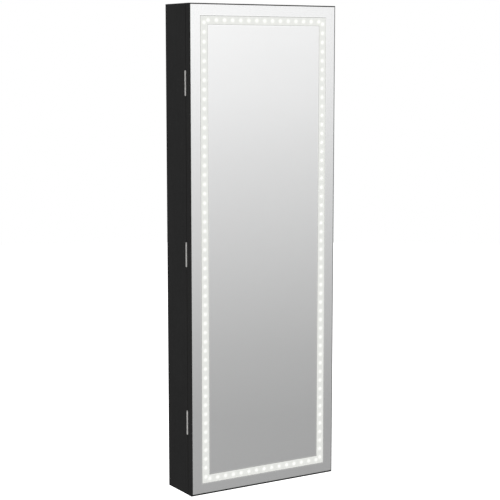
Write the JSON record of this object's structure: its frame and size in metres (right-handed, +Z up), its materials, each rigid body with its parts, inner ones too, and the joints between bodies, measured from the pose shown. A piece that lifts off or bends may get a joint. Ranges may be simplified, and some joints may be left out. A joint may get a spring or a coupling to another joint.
{
  "type": "wall-mounted jewelry cabinet",
  "caption": "Tall shallow black wall cabinet with a side-hung mirror door, a lit frosted border, and hooks, ring cushions, bars and shelves for jewelry inside.",
  "frame": {"origin": "centre of the four wall-screw holes on the wall plane, which is the middle of the cabinet's back", "axes": "+X to the right as seen from the front, +Y back into the wall (the mirror faces -Y), +Z up"},
  "size_m": [0.3749, 0.107, 1.06],
  "materials": {
    "black_laminate": "satin black melamine on fibreboard",
    "hardboard": "black lacquered hardboard, smooth side out",
    "velvet": "charcoal velvet",
    "flocked_card": "charcoal flock on stiff card",
    "beech": "plain beech",
    "nickel": "polished nickel plate",
    "zinc_steel": "zinc plated steel",
    "black_plastic": "fine matt grain",
    "black_acrylic": "polished black acrylic",
    "magnet": "ground ferrite",
    "clear_rubber": "milky clear rubber",
    "clear_glass": "polished float glass",
    "silvering": "bright silver",
    "frosted_light": "white frosted, lit from behind",
    "light_tape": "white flexible circuit",
    "light_chip": "white light chips",
    "lead_insulation": "thin black sleeve",
    "cell_wrap": "plain grey wrap",
    "contact_steel": "nickel plated spring steel",
    "grey_plastic": "grey moulded button"
  },
  "bodies": {
    "case": {"case_side_left": "black_laminate", "case_side_right": "black_laminate", "case_top": "black_laminate", "case_bottom": "black_laminate", "case_back": "hardboard", "case_dowels": "beech", "back_screws": "zinc_steel", "hanging_rail_top": "black_laminate", "hanging_rail_bottom": "black_laminate", "lining_board": "flocked_card", "bay_divider": "black_laminate", "shelf_lower": "black_laminate", "shelf_middle": "black_laminate", "shelf_upper": "black_laminate", "shelf_guard_rods": "nickel", "necklace_rail": "black_laminate", "necklace_hooks": "nickel", "ring_board": "flocked_card", "ring_rolls": "velvet", "earring_bars": "black_acrylic", "earring_posts": "black_acrylic", "bracelet_rod": "nickel", "bracelet_sockets": "black_plastic", "catch_housings": "black_plastic", "catch_magnets": "magnet", "door_bumpers": "clear_rubber", "lock_barrel": "nickel", "lock_nut": "zinc_steel", "case_hinge_screws": "nickel", "hinge_pins": "nickel", "hinge_case_leaf_upper": "nickel", "hinge_case_leaf_middle": "nickel", "hinge_case_leaf_lower": "nickel"},
    "door": {"door_stile_hinge": "black_laminate", "door_stile_lock": "black_laminate", "door_rail_top": "black_laminate", "door_rail_bottom": "black_laminate", "door_corner_splines": "beech", "door_inner_panel": "black_laminate", "mirror_glass": "clear_glass", "mirror_silvering": "silvering", "frosted_band": "frosted_light", "led_tape": "light_tape", "led_chips": "light_chip", "led_leads": "lead_insulation", "battery_box": "black_plastic", "battery_cells": "cell_wrap", "battery_contacts": "contact_steel", "switch_body": "black_plastic", "catch_strikes": "zinc_steel", "lock_keeper": "zinc_steel", "door_screws": "zinc_steel", "hinge_door_leaf_upper": "nickel", "hinge_door_leaf_middle": "nickel", "hinge_door_leaf_lower": "nickel"},
    "battery_cover": {"battery_cover": "black_plastic"},
    "switch_button": {"switch_button": "grey_plastic"},
    "lock_plug": {"lock_plug": "nickel", "lock_cam": "zinc_steel", "cam_screw": "zinc_steel"}
  },
  "joints": [
    {"name": "door_hinge", "type": "hinge", "parent": "case", "child": "door", "pos_m": [-0.1856, -0.088, 0], "axis": [0, 0, -1], "range_deg": [0, 170]},
    {"name": "lock_turn", "type": "hinge", "parent": "case", "child": "lock_plug", "pos_m": [0.18, -0.064, 0], "axis": [1, 0, 0], "range_deg": [0, 90]},
    {"name": "battery_cover_slide", "type": "slide", "parent": "door", "child": "battery_cover", "axis": [0, 0, -1], "range_m": [0, 0.06]},
    {"name": "switch_press", "type": "slide", "parent": "door", "child": "switch_button", "axis": [0, -1, 0], "range_m": [0, 0.0015], "stiffness_N_per_m": 900, "springref_m": -0.001}
  ]
}
